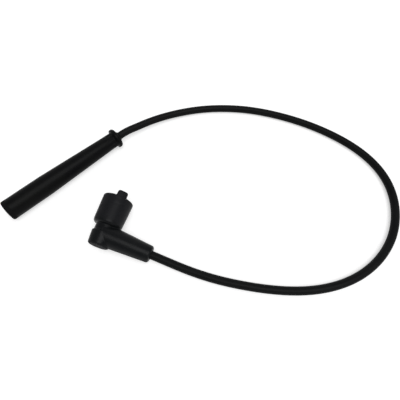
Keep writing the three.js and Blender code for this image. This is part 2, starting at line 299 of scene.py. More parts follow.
class Board:
    """Lays out shader nodes in one tree."""

    def __init__(self, tree: Tree) -> None:
        """Takes the tree to work in."""
        self.tree = tree

    def node(self, kind: str, **settings: object) -> bpy.types.Node:
        """Adds a node.

        Args:
            kind: the node's type.
            **settings: properties, or input sockets by name with spaces as underscores.

        Returns:
            The node.
        """
        made = self.tree.nodes.new(kind)
        for name, value in settings.items():
            socket = made.inputs.get(name.replace("_", " "))
            if hasattr(made, name):
                setattr(made, name, value)
            elif socket is not None:
                socket.default_value = value
        return made

    def link(self, source: Socket, target: Socket) -> None:
        """Links an output to an input."""
        self.tree.links.new(source, target)

    def math(
        self, operation: str, first: Socket, second: float | Socket,
        clamp: bool = False,
    ) -> Socket:
        """Adds one step of arithmetic.

        Args:
            operation: the step.
            first: the socket that it works on.
            second: a number or another socket.
            clamp: True to keep the result between 0 and 1.

        Returns:
            The result.
        """
        made = self.node("ShaderNodeMath", operation=operation, use_clamp=clamp)
        self.link(first, made.inputs[0])
        if isinstance(second, (int, float)):
            made.inputs[1].default_value = second
        else:
            self.link(second, made.inputs[1])
        return made.outputs[0]

    def noise(self, at: Socket, scale: float, detail: float = 3) -> Socket:
        """Adds a noise texture.

        Args:
            at: the vector that it reads.
            scale: its scale.
            detail: its detail.

        Returns:
            Its value.
        """
        made = self.node("ShaderNodeTexNoise", Scale=scale, Detail=detail)
        self.link(at, made.inputs["Vector"])
        return made.outputs["Fac"]

    def span(
        self, value: Socket, low: float, high: float, to_low: float, to_high: float
    ) -> Socket:
        """Maps a value from one range to another.

        Args:
            value: the socket that is mapped.
            low: start of the range that is read.
            high: end of the range that is read.
            to_low: what the start becomes.
            to_high: what the end becomes.

        Returns:
            The mapped socket.
        """
        made = self.node("ShaderNodeMapRange")
        for name, number in (("From Min", low), ("From Max", high), ("To Min", to_low), ("To Max", to_high)):
            made.inputs[name].default_value = number
        self.link(value, made.inputs["Value"])
        return made.outputs["Result"]

    def blend(
        self, mask: Socket, first: Colour | Socket, second: Colour
    ) -> Socket:
        """Mixes two colours.

        Args:
            mask: how much of the second shows.
            first: the first colour, or a socket that gives it.
            second: the second colour.

        Returns:
            The mixed colour.
        """
        made = self.node("ShaderNodeMix", data_type="RGBA")
        ends = [s for s in made.inputs if s.type == "RGBA"]
        if isinstance(first, tuple):
            ends[0].default_value = (*first, 1)
        else:
            self.link(first, ends[0])
        ends[1].default_value = (*second, 1)
        self.link(mask, made.inputs["Factor"])
        return next(s for s in made.outputs if s.type == "RGBA")

    def mix(
        self, mask: Socket, first: Socket, second: float
    ) -> Socket:
        """Mixes a value with a number.

        Args:
            mask: how much of the number shows.
            first: the value.
            second: the number.

        Returns:
            The mixed value.
        """
        made = self.node("ShaderNodeMix", data_type="FLOAT")
        self.link(first, made.inputs["A"])
        made.inputs["B"].default_value = second
        self.link(mask, made.inputs["Factor"])
        return made.outputs["Result"]

    def bump(
        self, height: Socket, strength: float, depth: float, shader: bpy.types.Node
    ) -> None:
        """Feeds a height to a shader's normal.

        Args:
            height: the height.
            strength: how strongly it shows.
            depth: how deep it is, in metres.
            shader: the shader.
        """
        made = self.node("ShaderNodeBump", Strength=strength, Distance=depth)
        self.link(height, made.inputs["Height"])
        self.link(made.outputs["Normal"], shader.inputs["Normal"])


class EffectGroups:
    """Node groups that several finishes share."""

    swell_scale: float = 0.06  # scale of the slow swell, as a share of the grain's

    def __init__(self) -> None:
        """Builds the groups."""
        self.grain = self._grain()
        self.haze = self._haze()

    @staticmethod
    def _start(name: str, output: str, **numbers: float) -> tuple[Tree, Board, bpy.types.Node, bpy.types.Node]:
        """Makes an empty group that reads a vector and some numbers.

        Args:
            name: the group's name.
            output: name of its one output.
            **numbers: name and default of each number input.

        Returns:
            The group, its board, its input node and its output node.
        """
        group = bpy.data.node_groups.new(name, "ShaderNodeTree")
        group.interface.new_socket("Vector", in_out="INPUT", socket_type="NodeSocketVector")
        for label, value in numbers.items():
            socket = group.interface.new_socket(label, in_out="INPUT", socket_type="NodeSocketFloat")
            socket.default_value = value
        group.interface.new_socket(output, in_out="OUTPUT", socket_type="NodeSocketFloat")
        board = Board(group)
        return group, board, board.node("NodeGroupInput"), board.node("NodeGroupOutput")

    def _grain(self) -> Tree:
        """Builds the fine pebble of a spark-eroded mould, over a slow swell of the surface.

        Returns:
            The group.
        """
        group, board, source, result = self._start("mould_grain", "Height", Scale=2500, Swell=0.5)
        fine = board.node("ShaderNodeTexNoise", Detail=2.0, Roughness=0.55)
        swell = board.node("ShaderNodeTexNoise", Detail=1.0)
        for cloud in (fine, swell):
            board.link(source.outputs["Vector"], cloud.inputs["Vector"])
        board.link(source.outputs["Scale"], fine.inputs["Scale"])
        board.link(board.math("MULTIPLY", source.outputs["Scale"], self.swell_scale), swell.inputs["Scale"])
        share = board.math("MULTIPLY", swell.outputs["Fac"], source.outputs["Swell"])
        board.link(board.math("ADD", fine.outputs["Fac"], share), result.inputs["Height"])
        return group

    def _haze(self) -> Tree:
        """Builds the cloudy patches of handling, talc and bloom.

        Returns:
            The group.
        """
        group, board, source, result = self._start("handling_haze", "Mask", Scale=60, Contrast=2)
        cloud = board.node("ShaderNodeTexNoise", Detail=5.0, Roughness=0.6, Distortion=0.4)
        board.link(source.outputs["Vector"], cloud.inputs["Vector"])
        board.link(source.outputs["Scale"], cloud.inputs["Scale"])
        centred = board.math("SUBTRACT", cloud.outputs["Fac"], 0.5)
        spread = board.math("MULTIPLY", centred, source.outputs["Contrast"])
        board.link(board.math("ADD", spread, 0.5, clamp=True), result.inputs["Mask"])
        return group

    @staticmethod
    def use(
        board: Board, group: Tree, at: Socket, **values: float
    ) -> Socket:
        """Places a group in a material's tree.

        Args:
            board: the material's board.
            group: the group.
            at: the vector that it reads.
            **values: its number inputs.

        Returns:
            The group's one output.
        """
        made = board.node("ShaderNodeGroup")
        made.node_tree = group
        board.link(at, made.inputs["Vector"])
        for name, value in values.items():
            made.inputs[name].default_value = value
        return made.outputs[0]


def fresh_material(name: str) -> tuple[Finish, Board, bpy.types.Node]:
    """Starts a node material.

    Args:
        name: the material's name.

    Returns:
        The material, its board and its Principled BSDF.
    """
    material = bpy.data.materials.new(name)
    material.use_nodes = True
    board = Board(material.node_tree)
    return material, board, material.node_tree.nodes["Principled BSDF"]


@dataclass(frozen=True)
class MattZone:
    """End of a boot that is matt: where it starts and is full along a direction, and how rough it is."""

    direction: tuple[float, float, float]
    start: float
    full: float
    roughness: float

    @classmethod
    def along(
        cls, origin: Vector, direction: Vector, start: float, full: float, roughness: float,
    ) -> "MattZone":
        """Measures a zone from a point.

        Args:
            origin: the point, in metres.
            direction: unit vector towards the zone.
            start: where the zone starts, in mm from the point.
            full: where it is fully matt, in mm from the point.
            roughness: the shader's roughness where it is fully matt.

        Returns:
            The zone.
        """
        base = origin.dot(direction)
        return cls(tuple(direction), base + start * MM, base + full * MM, roughness)

    def mask(self, board: Board, at: Socket) -> Socket:
        """Gives 1 inside the zone and 0 outside it.

        Args:
            board: the material's board.
            at: the Object coordinates.

        Returns:
            The mask.
        """
        reach = board.node("ShaderNodeVectorMath", operation="DOT_PRODUCT")
        board.link(at, reach.inputs[0])
        reach.inputs[1].default_value = self.direction
        return board.span(reach.outputs["Value"], self.start, self.full, 0.0, 1.0)


@dataclass(frozen=True)
class MouldedRubber:
    """Black moulded silicone of a boot, matt where handling, dust or the mould's texture make it so."""

    name: str
    dark: Colour = (0.0030, 0.0030, 0.0038)
    light: Colour = (0.0050, 0.0052, 0.0048)
    matt: Colour = (0.0050, 0.0050, 0.0054)
    roughness: tuple[float, float] = (0.36, 0.46)
    specular: float = 0.05
    grain_scale: float = 2600.0
    grain_depth: float = 0.00002
    swell: float = 0.9
    haze_scale: float = 55.0
    haze_contrast: float = 2.2
    speckle_scale: float = 700.0
    speckle: tuple[float, ...] = (0.35, 0.62, 0.45, 1.0)  # span of the noise, and of the share that is matt
    zones: tuple[MattZone, ...] = ()

    def material(self, effects: EffectGroups) -> Finish:
        """Builds the material.

        Args:
            effects: the shared node groups.

        Returns:
            The material.
        """
        material, board, shader = fresh_material(self.name)
        at = board.node("ShaderNodeTexCoord").outputs["Object"]
        haze = effects.use(board, effects.haze, at, Scale=self.haze_scale, Contrast=self.haze_contrast)
        speckle = board.span(board.noise(at, self.speckle_scale, 5), *self.speckle)
        colour = board.blend(haze, self.dark, self.light)
        gloss = board.span(haze, 0, 1, *self.roughness)
        for zone in self.zones:
            matt = board.math("MULTIPLY", zone.mask(board, at), speckle)
            colour = board.blend(matt, colour, self.matt)
            gloss = board.mix(matt, gloss, zone.roughness)
        board.link(colour, shader.inputs["Base Color"])
        board.link(gloss, shader.inputs["Roughness"])
        shader.inputs["Specular IOR Level"].default_value = self.specular
        grain = effects.use(board, effects.grain, at, Scale=self.grain_scale, Swell=self.swell)
        board.bump(grain, 0.5, self.grain_depth, shader)
        return material


@dataclass(frozen=True)
class ExtrudedJacket:
    """Smooth silicone jacket of the cable, with faint lines from the die along it."""

    name: str
    dark: Colour = (0.0038, 0.0040, 0.0044)
    light: Colour = (0.0068, 0.0074, 0.0074)
    roughness: tuple[float, float] = (0.40, 0.52)
    specular: float = 0.06
    haze_scale: float = 45.0
    line_scale: float = 1500.0
    line_stretch: float = 0.05  # how much slower the lines change along the cable than round it
    grain_scale: float = 3200.0
    grain_depth: float = 0.00002

    def material(self, effects: EffectGroups) -> Finish:
        """Builds the material on the cable's own UV map, in metres round and along it.

        Args:
            effects: the shared node groups.

        Returns:
            The material.
        """
        material, board, shader = fresh_material(self.name)
        at = board.node("ShaderNodeTexCoord").outputs["UV"]
        stretched = board.node("ShaderNodeMapping")
        stretched.inputs["Scale"].default_value = (1, self.line_stretch, 1)
        board.link(at, stretched.inputs["Vector"])
        lines = board.noise(stretched.outputs["Vector"], self.line_scale, 2)
        haze = effects.use(board, effects.haze, at, Scale=self.haze_scale, Contrast=2.0)
        board.link(board.blend(haze, self.dark, self.light), shader.inputs["Base Color"])
        board.link(board.span(haze, 0, 1, *self.roughness), shader.inputs["Roughness"])
        shader.inputs["Specular IOR Level"].default_value = self.specular
        grain = effects.use(board, effects.grain, at, Scale=self.grain_scale, Swell=0.4)
        board.bump(board.math("ADD", lines, grain), 0.35, self.grain_depth, shader)
        return material


@dataclass(frozen=True)
class PlatedSteel:
    """Plated sheet or wire with drawing lines and small stains."""

    name: str
    bright: Colour = (0.62, 0.61, 0.58)
    dull: Colour = (0.36, 0.35, 0.33)
    roughness: tuple[float, float] = (0.24, 0.46)
    stretch: tuple[float, float, float] = (1.0, 8.0, 8.0)
    line_scale: float = 700.0
    line_depth: float = 0.00002
    stain_scale: float = 260.0

    def material(self, effects: EffectGroups) -> Finish:
        """Builds the material.

        Args:
            effects: the shared node groups.

        Returns:
            The material.
        """
        material, board, shader = fresh_material(self.name)
        at = board.node("ShaderNodeTexCoord").outputs["Object"]
        drawn = board.node("ShaderNodeMapping")
        drawn.inputs["Scale"].default_value = self.stretch
        board.link(at, drawn.inputs["Vector"])
        lines = board.noise(drawn.outputs["Vector"], self.line_scale, 4)
        stains = effects.use(board, effects.haze, at, Scale=self.stain_scale, Contrast=2.6)
        board.link(board.blend(stains, self.bright, self.dull), shader.inputs["Base Color"])
        board.link(board.span(stains, 0, 1, *self.roughness), shader.inputs["Roughness"])
        shader.inputs["Metallic"].default_value = 1
        board.bump(lines, 0.3, self.line_depth, shader)
        return material


@dataclass
class PictureCamera:
    """The photograph's camera, with its tilt from straight down and its turn in degrees."""

    position: tuple[float, float, float] = (-15.75, -144.75, 271.2)
    lens: float = 30.15
    sensor: float = 36.0
    tilt: float = 26.0
    turn: float = -42.2

    def build(self) -> None:
        """Makes the camera and gives it to the scene."""
        data = bpy.data.cameras.new("picture_camera")
        data.lens, data.sensor_width = self.lens, self.sensor
        data.clip_start, data.clip_end = 0.01, 20
        camera = bpy.data.objects.new("picture_camera", data)
        camera.location = Vector(self.position) * MM
        camera.rotation_euler = (math.radians(self.tilt), 0, math.radians(self.turn))
        bpy.context.scene.collection.objects.link(camera)
        bpy.context.scene.camera = camera


@dataclass
class Elbow:
    """How the coil boot lies: on the side of its cap and the end of its arm."""

    crossing: tuple[float, float] = (48.4, -73.55)
    azimuth: float = 29.9
    cap_mouth_r: float = 13.1
    cap_base_r: float = 12.25
    cap_mouth_at: float = 32.7
    cap_taper: float = 21.2
    cap_edge: float = 1.3
    arm_end_r: float = 7.2
    arm_length: float = 43.2
    arm_end_round: float = 2.2
    angle: float = 94.0

    def place(self) -> Matrix:
        """Rests the boot on the surface: the cap's side first, then the roll that lays the arm's end down.

        Returns:
            The matrix from the boot's own axes to the row frame, in metres.
        """
        rise = math.atan2(self.cap_mouth_r - self.cap_base_r, self.cap_taper)
        height = (self.cap_mouth_r - (self.cap_mouth_at - self.cap_edge) * math.tan(rise)) / math.cos(rise)
        arm = self.arm_length - self.arm_end_round
        turn = math.radians(self.angle)
        lean = arm * math.cos(turn) * math.sin(rise)
        roll = math.asin((height + lean - self.arm_end_r) / (arm * math.sin(turn)))
        at = Vector((MOUTH.x + self.crossing[0], MOUTH.y + self.crossing[1], height)) * MM
        return (
            Matrix.Translation(at)
            @ Matrix.Rotation(math.radians(self.azimuth), 4, "Z")
            @ Matrix.Rotation(-rise, 4, "Y")
            @ Matrix.Rotation(roll, 4, "X")
        )

    def arm_turn(self) -> Matrix:
        """Gives the turn from the cap's axis to the arm's."""
        return Matrix.Rotation(math.radians(-self.angle), 4, "Z")

    def arm_point(self, along: float) -> Vector:
        """Gives a point of the arm's axis in the row frame, in metres."""
        return self.place() @ self.arm_turn() @ Vector((along * MM, 0, 0))


@dataclass
class Cable:
    """The 7 mm cable, from inside the plug boot's collar to the coil terminal's crimp."""

    elbow: Elbow
    route: tuple[tuple[float, float, float], ...] = (
        (127.5, -0.28, 9.2), (137, -2.2, 8.5), (151, -4.3, 7.3), (167, -8.5, 5.8), (184.5, -15.4, 4.4),
        (203.5, -26.1, 3.6),
        (221.5, -41, 3.5), (239, -60, 3.5), (254, -83, 3.5), (266.5, -108, 3.5), (275, -133.5, 3.5),
        (279.5, -158.5, 3.5), (278.5, -181.5, 3.5), (271.5, -201.5, 3.5), (258.5, -218, 3.5),
        (241, -230.5, 3.5), (221, -238, 3.5), (199, -240, 3.5), (177, -236.5, 3.5),
        (156, -227.5, 3.5), (137, -214, 3.5), (120, -197, 3.5), (105, -178.5, 3.5),
        (92, -160, 3.6), (81.5, -141.4, 4),
    )
    inner_start: float = 57.0   # its end in the plug terminal's crimp, from the boot's mouth
    boot_length: float = 118.5
    split_at: float = 94.0      # where the hidden end meets the main piece, from the boot's mouth
    before_arm: float = 12.0    # last route point in front of the coil boot's arm
    into_arm: float = 8.0       # first point inside the arm
    crimp_end: float = 13.3     # its other end, from the coil boot's crossing
    steps: int = 14             # stretches between two route points
    sides: int = 32

    def line(self) -> list[Vector]:
        """Draws the cable's centreline from crimp to crimp.

        Returns:
            Its points in the row frame, in metres.
        """
        share = [self.inner_start + (self.boot_length - self.inner_start) * i / 3 for i in range(4)]
        points = [Vector((MOUTH.x + s, MOUTH.y, MOUTH.z)) * MM for s in share]
        points += [Vector((MOUTH.x + x, MOUTH.y + y, z)) * MM for x, y, z in self.route]
        arm = self.elbow.arm_length
        inner = (arm + self.before_arm, arm - self.into_arm, self.crimp_end)
        points += [self.elbow.arm_point(s) for s in inner]
        curve = bpy.data.curves.new("cable_line", "CURVE")
        curve.dimensions = "3D"
        spline = curve.splines.new("NURBS")
        spline.points.add(len(points) - 1)
        for control, point in zip(spline.points, points):
            control.co = (*point, 1)
        spline.order_u, spline.use_endpoint_u, spline.resolution_u = 4, True, self.steps
        made = applied(show(curve, "cable_line"))
        line = [v.co.copy() for v in made.vertices]
        bpy.data.meshes.remove(made)
        bpy.data.curves.remove(curve)
        return line

    def tube(self, line: list[Vector], name: str) -> Mesh:
        """Extrudes a ring along a line, with a UV map in metres round and along it.

        Args:
            line: the centreline.
            name: the mesh's name.

        Returns:
            The closed tube.
        """
        shape = bmesh.new()
        radius = CABLE_D / 2 * MM
        way = (line[1] - line[0]).normalized()
        turn = way.to_track_quat("Z", "Y")
        place = Matrix.Translation(line[0]) @ turn.to_matrix().to_4x4()
        first = bmesh.ops.create_circle(shape, segments=self.sides, radius=radius, matrix=place)["verts"]
        rings, lengths = [first], [0.0]
        edges = shape.edges[:]
        for i in range(1, len(line)):
            ahead = (line[min(i + 1, len(line) - 1)] - line[i - 1]).normalized()
            verts, edges = extruded(shape, edges)
            bend = way.rotation_difference(ahead).to_matrix().to_4x4()
            move = Matrix.Translation(line[i]) @ bend @ Matrix.Translation(-line[i - 1])
            bmesh.ops.transform(shape, matrix=move, verts=verts)
            way = ahead
            rings.append(verts)
            lengths.append(lengths[-1] + (line[i] - line[i - 1]).length)
        caps = [e for e in shape.edges if e.is_boundary]
        bmesh.ops.holes_fill(shape, edges=caps, sides=self.sides)
        bmesh.ops.recalc_face_normals(shape, faces=shape.faces)
        self._unwrap(shape, rings, lengths)
        return mesh_of(shape, name)

    def _unwrap(self, shape: Shape, rings: list, lengths: list[float]) -> None:
        """Writes the UV map: round the cable and along it, in metres.

        Args:
            shape: the tube.
            rings: each ring's vertices.
            lengths: each ring's distance along the cable.
        """
        layer = shape.loops.layers.uv.new("UVMap")
        step = math.pi * CABLE_D * MM / self.sides
        shape.verts.index_update()
        place = {}
        for ring, length in zip(rings, lengths):
            order = sorted(range(len(ring)), key=lambda i: ring[i].index)
            for number, i in enumerate(order):
                place[ring[i].index] = (number * step, length)
        for face in shape.faces:
            across = [place[loop.vert.index][0] for loop in face.loops]
            wraps = len(face.verts) == 4 and max(across) - min(across) > step * self.sides / 2
            for loop, u in zip(face.loops, across):
                lift = step * self.sides if wraps and u < step else 0
                loop[layer].uv = (u + lift, place[loop.vert.index][1])

    def build(self, finish: Finish) -> list[Piece]:
        """Makes the cable and the short end of it that the plug boot hides.

        Args:
            finish: the jacket's material.

        Returns:
            The two pieces.
        """
        line = self.line()
        split = (MOUTH.x + self.split_at) * MM
        at = next(i for i, point in enumerate(line) if point.x >= split)
        main = show(self.tube(line[at:], "ignition_cable_main"), "ignition_cable_main")
        end = show(self.tube(line[: at + 1], "ignition_cable_end"), "ignition_cable_end")
        for piece in (main, end):
            smooth(piece.data)
            fit(piece, ("ignition_cable",), finish)
        length = sum((b - a).length for a, b in zip(line[at:], line[at + 1:]))
        LOG.info("cable length %.4f m", length)
        return [main, end]


@dataclass
class PlugBoot:
    """Long straight boot with a collar, its bore and the room for its terminal."""

    mouth_r: float = 9.25
    straight: float = 38.0
    top_r: float = 6.9
    lip: float = 1.0
    bore_r: float = 5.75
    bore_depth: float = 36.0
    lead_in: float = 1.1
    seal_ribs: tuple[float, ...] = (7.0, 11.5, 16.0)
    seal_rise: float = 0.45
    seal_steps: tuple[float, ...] = (-1.1, -0.8, -0.5, -0.25, 0, 0.25, 0.5, 0.8, 1.1)
    knee: float = 3.0           # the taper starts softly, over this length either way
    knee_dip: float = 0.02
    collar_r: float = 9.25
    collar_at: float = 111.9
    collar_thick: float = 4.1
    collar_fillet: float = 1.0
    collar_front: float = 1.0
    collar_back: float = 2.0
    sleeve_end_at: float = 117.8
    sleeve_r: float = 4.5
    sleeve_end_r: float = 4.3
    sleeve_fillet: float = 0.5
    sleeve_round: float = 0.4
    gussets: int = 16
    gusset_length: float = 9.5
    gusset_stop: float = 0.6    # where they end, in front of the collar
    gusset_rise: float = 0.12
    gusset_flute: float = 0.38
    gusset_crest: tuple[float, float] = (0.2, 0.4)  # cosine where a rib starts, and its span to the full rise
    gusset_growth: float = 0.8  # power with which ribs and flutes grow towards the collar
    parting_rise: float = 0.09
    parting_width: float = 0.03  # sine of half the angle that the parting line takes
    skin_r: float = 6.6         # what lies nearer the axis is the bore
    sides: int = 192

    def outside(self) -> Profile:
        """Gives the outer profile from the mouth's rim to the sleeve's end.

        Returns:
            Its points, close together where the ribs rise.
        """
        back = self.collar_at + self.collar_thick
        foot_at = self.collar_at - self.collar_fillet
        root = foot_at - self.gusset_length
        slope = (self.top_r - self.mouth_r) / (foot_at - self.straight)
        at_root = (root, self.mouth_r + slope * (root - self.straight))
        eased = (self.straight + self.knee, self.mouth_r + slope * self.knee)
        front_at, front_r = self.collar_at + self.collar_front, self.collar_r - self.collar_front
        back_at, back_r = back - self.collar_back, self.collar_r - self.collar_back
        end_at, end_r = self.sleeve_end_at - self.sleeve_round, self.sleeve_end_r - self.sleeve_round
        fillet = self.sleeve_fillet
        return [
            *arc(self.lip, self.mouth_r - self.lip, self.lip, 180, 90),
            *between((self.lip, self.mouth_r), (self.straight, self.mouth_r), 6),
            (self.straight - self.knee, self.mouth_r), (self.straight, self.mouth_r - self.knee_dip),
            (eased[0], eased[1] - self.knee_dip),
            *between(eased, at_root, 8),
            at_root,
            *between(at_root, (foot_at, self.top_r), 14),
            *arc(foot_at, self.top_r + self.collar_fillet, self.collar_fillet, 270, 350, 6),
            *arc(front_at, front_r, self.collar_front, 180, 90, 6),
            *between((front_at, self.collar_r), (back_at, self.collar_r), 2),
            *arc(back_at, back_r, self.collar_back, 90, 8, 8),
            *arc(back + fillet, self.sleeve_r + fillet, fillet, 180, 260, 5),
            *arc(end_at, end_r, self.sleeve_round, 80, 0, 4),
        ]

    def inside(self) -> Profile:
        """Gives the inner profile from the sleeve's end to the mouth.

        Returns:
            Its points.
        """
        crimp_start, crimp_end = PLUG_TIP + CRIMP_AT - FIT, PLUG_TIP + CRIMP_AT + CRIMP_LENGTH + FIT
        points: Profile = [
            (self.sleeve_end_at, CABLE_BORE_R + 0.1), (self.sleeve_end_at - self.sleeve_round, CABLE_BORE_R),
            (crimp_end, CABLE_BORE_R), (crimp_end, CRIMP_CHAMBER_R), (crimp_start, CRIMP_CHAMBER_R),
            (crimp_start, SNAP_CHAMBER_R), (self.bore_depth, SNAP_CHAMBER_R),
            *arc(self.bore_depth - 0.4, self.bore_r - 0.4, 0.4, 0, 90, 3),
        ]
        for at in reversed(self.seal_ribs):
            points += [
                (at - w, self.bore_r - self.seal_rise * 0.5 * (1 + math.cos(math.pi * w / self.seal_steps[-1])))
                for w in self.seal_steps
            ]
        flare = self.bore_r + self.lead_in
        return points + [
            (2 * self.lead_in, self.bore_r), (1.2, self.bore_r + 0.42), (0.35, flare - 0.14), (0, flare + 0.2),
        ]

    def _raise_gussets(self, shape: Shape) -> None:
        """Works low ribs and their flutes in front of the collar, and the mould's parting line.

        Args:
            shape: the boot, with its mouth at the origin.
        """
        end = (self.collar_at - self.gusset_stop) * MM
        root = end - self.gusset_length * MM
        crest, ramp = self.gusset_crest
        for vert in shape.verts:
            radius = math.hypot(vert.co.y, vert.co.z)
            if radius < self.skin_r * MM or vert.co.x > end:
                continue
            turn = math.atan2(vert.co.z, vert.co.y)
            along = max(0.0, 1 - (end - vert.co.x) / (self.gusset_length * MM)) ** self.gusset_growth
            comb = min(1.0, max(0.0, (math.cos(self.gussets * turn) - crest) / ramp))
            lift = along * (comb * (self.gusset_rise + self.gusset_flute) - self.gusset_flute)
            if abs(math.sin(turn)) < self.parting_width and self.lip * MM < vert.co.x < root:
                lift = self.parting_rise
            grown = 1 + lift * MM / radius
            vert.co.y *= grown
            vert.co.z *= grown

    def build(self, finish: Finish) -> Piece:
        """Makes the boot.

        Args:
            finish: its rubber.

        Returns:
            The piece.
        """
        shape = spun(self.outside() + self.inside(), self.sides)
        self._raise_gussets(shape)
        mesh = mesh_of(shape, "plug_boot_dressed", Matrix.Translation(MOUTH * MM))
        return finished(mesh, "plug_boot", finish, sharp_above=50)


@dataclass
class CoilBoot:
    """Right-angle boot: cap, undercut neck, barrel and tapering arm in one moulding."""

    elbow: Elbow
    cap_length: float = 25.5
    cap_base_round: float = 3.0
    cap_wall: float = 2.8
    cap_floor: float = 4.4
    neck_r: float = 8.7
    neck_length: float = 5.6
    neck_ease: float = 0.7
    barrel_r: float = 9.8
    barrel_end_r: float = 8.9
    barrel_end_at: float = -10.5
    barrel_edge: float = 1.9
    shoulder_round: float = 1.3
    arm_root_r: float = 9.7
    tab_width: float = 8.6
    tab_reach: float = 4.6
    tab_thick: float = 2.1
    tab_round: float = 1.8
    tab_turn: float = 20.0
    tab_root: float = 6.5       # how far the tab's plate starts inside the cap
    tab_plate: tuple[float, float] = (14.0, 9.0)  # the uncut plate's depth, and its middle from the axis
    tab_ring: tuple[float, float] = (-9.0, 7.0)   # the ring that it is cut to, from the cap's rim
    mouth_flare: float = 0.65
    mouth_lead: float = 1.3
    past: float = 9.0           # how far the cap's hollow is cut past its rim
    voxel: float = 0.34
    ease_share: float = 0.5
    ease_rounds: int = 5
    sides: int = 96

    def barrel(self) -> Mesh:
        """Makes barrel, neck and cap as one solid of revolution.

        Returns:
            The solid in the boot's own axes.
        """
        e = self.elbow
        base_at = e.cap_mouth_at - self.cap_length
        neck_at = base_at - self.neck_length
        edge, shoulder, base = self.barrel_edge, self.shoulder_round, self.cap_base_round
        profile = [
            (self.barrel_end_at, 0),
            *arc(self.barrel_end_at + edge, self.barrel_end_r - edge, edge, 180, 94),
            *arc(neck_at - shoulder, self.barrel_r - shoulder, shoulder, 94, 10),
            (neck_at + 0.1, self.neck_r + 0.3), (neck_at + self.neck_ease, self.neck_r),
            (base_at - self.neck_ease, self.neck_r), (base_at - 0.1, self.neck_r - 0.2), (base_at, self.neck_r),
            *arc(base_at + base, e.cap_base_r - base, base, 180, 92),
            *arc(e.cap_mouth_at - e.cap_edge, e.cap_mouth_r - e.cap_edge, e.cap_edge, 92, 0),
            (e.cap_mouth_at, 0),
        ]
        return mesh_of(spun(profile, self.sides, closed=False), "coil_barrel")

    def arm(self) -> Mesh:
        """Makes the tapering arm.

        Returns:
            The solid in the boot's own axes.
        """
        e = self.elbow
        profile = [
            (0, 0), (0, self.arm_root_r),
            *arc(e.arm_length - e.arm_end_round, e.arm_end_r - e.arm_end_round, e.arm_end_round, 87, 0),
            (e.arm_length, 0),
        ]
        return mesh_of(spun(profile, self.sides, closed=False), "coil_arm", e.arm_turn())

    def tab(self) -> Mesh:
        """Makes the rounded tab on the cap's rim, cut to the rim's curve.

        Returns:
            The solid in the boot's own axes.
        """
        e = self.elbow
        reach = self.tab_reach + self.tab_root
        depth, height = self.tab_plate
        plate = block((reach, self.tab_width, depth), (e.cap_mouth_at + self.tab_reach - reach / 2, 0, height))
        corners = [
            edge for edge in plate.edges
            if all(v.co.x > (e.cap_mouth_at + 1) * MM for v in edge.verts)
            and abs(edge.verts[0].co.y - edge.verts[1].co.y) < 1e-6
        ]
        rounded(plate, corners, self.tab_round, 6)
        inner = e.cap_mouth_r - self.cap_wall + self.mouth_flare
        start, end = (e.cap_mouth_at + along for along in self.tab_ring)
        profile = [(start, inner), (start, inner + self.tab_thick), (end, inner + self.tab_thick), (end, inner)]
        ring = mesh_of(spun(profile, self.sides), "tab_ring")
        piece = combined(mesh_of(plate, "tab_plate"), ring, Join.COMMON)
        piece.transform(Matrix.Rotation(math.radians(self.tab_turn), 4, "X"))
        return piece

    def hollow(self) -> Mesh:
        """Makes everything that is hollow in the boot.

        Returns:
            The solid that is cut from it, in the boot's own axes.
        """
        e = self.elbow
        past = e.cap_mouth_at + self.past
        floor = e.cap_mouth_at - self.cap_length + self.cap_floor
        base, mouth = e.cap_base_r - self.cap_wall, e.cap_mouth_r - self.cap_wall
        cap = spun([
            (-CRIMP_CHAMBER_R, 0), (-CRIMP_CHAMBER_R, SNAP_CHAMBER_R), (floor, SNAP_CHAMBER_R),
            *arc(floor + 1, base - 1, 1, 180, 92, 4), (e.cap_mouth_at - self.mouth_lead, mouth),
            (e.cap_mouth_at, mouth + self.mouth_flare), (past, mouth + self.mouth_flare), (past, 0),
        ], self.sides, closed=False)
        crimp_end = COIL_CRIMP_AT + CRIMP_LENGTH + FIT
        arm = spun([
            (0, 0), (0, CRIMP_CHAMBER_R), (crimp_end, CRIMP_CHAMBER_R), (crimp_end, CABLE_BORE_R),
            (e.arm_length + 1, CABLE_BORE_R), (e.arm_length + 1, 0),
        ], self.sides, closed=False)
        return combined(mesh_of(cap, "cap_hollow"), mesh_of(arm, "arm_hollow", e.arm_turn()), Join.UNION)

    def build(self, finish: Finish) -> Piece:
        """Makes the boot, with its inner corners flowed together as a mould leaves them.

        Args:
            finish: its rubber.

        Returns:
            The piece.
        """
        solid = combined(self.barrel(), self.arm(), Join.UNION)
        solid = combined(solid, self.hollow(), Join.CUT)
        solid = combined(solid, self.tab(), Join.UNION)
        worked = show(solid, "coil_boot_worked")
        flow = worked.modifiers.new("flow", "REMESH")
        flow.mode, flow.voxel_size, flow.use_smooth_shade = "VOXEL", self.voxel * MM, True
        ease = worked.modifiers.new("ease", "SMOOTH")
        ease.factor, ease.iterations = self.ease_share, self.ease_rounds
        mesh = applied(worked)
        mesh.transform(self.elbow.place())
        mesh.name = "coil_boot_dressed"
        return finished(mesh, "coil_boot", finish, sharp_above=180)


